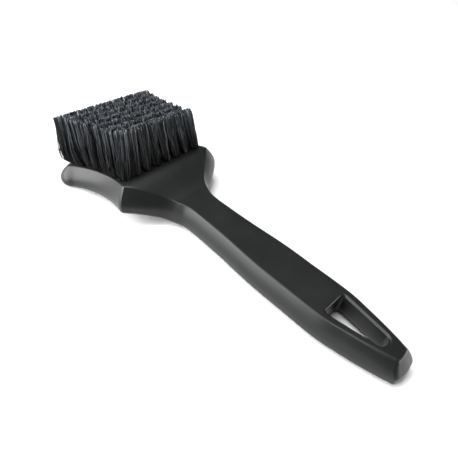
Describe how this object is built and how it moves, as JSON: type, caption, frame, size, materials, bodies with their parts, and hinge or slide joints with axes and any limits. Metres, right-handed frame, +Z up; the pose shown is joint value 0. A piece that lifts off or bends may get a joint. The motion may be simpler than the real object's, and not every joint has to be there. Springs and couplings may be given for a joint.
{
  "type": "wheel brush",
  "caption": "Short-handled scrubbing brush for car wheels and tyres: moulded handle and flared head with stiff stapled bristle tufts and a hanging hole.",
  "frame": {"origin": "middle of the bounding box's base, on the surface that the brush lies on with its bristles up", "axes": "+X from the handle end to the head tip, +Y to the brush's left side, +Z up"},
  "size_m": [0.2578, 0.0958, 0.0542],
  "materials": {
    "body": "satin moulded polypropylene",
    "bristle": "stiff crimped polypropylene filament",
    "anchor": "galvanised flat wire"
  },
  "bodies": {
    "root": {"handle_and_head": "body", "tuft_row_1_left": "bristle", "tuft_row_1_right": "bristle", "tuft_row_2_left": "bristle", "tuft_row_2_right": "bristle", "tuft_row_3_left": "bristle", "tuft_row_3_right": "bristle", "tuft_row_4_left": "bristle", "tuft_row_4_right": "bristle", "tuft_row_5_left": "bristle", "tuft_row_5_right": "bristle", "tuft_row_6_left": "bristle", "tuft_row_6_right": "bristle", "tuft_row_7_left": "bristle", "tuft_row_7_right": "bristle", "anchor_row_1": "anchor", "anchor_row_2": "anchor", "anchor_row_3": "anchor", "anchor_row_4": "anchor", "anchor_row_5": "anchor", "anchor_row_6": "anchor", "anchor_row_7": "anchor"}
  },
  "joints": []
}
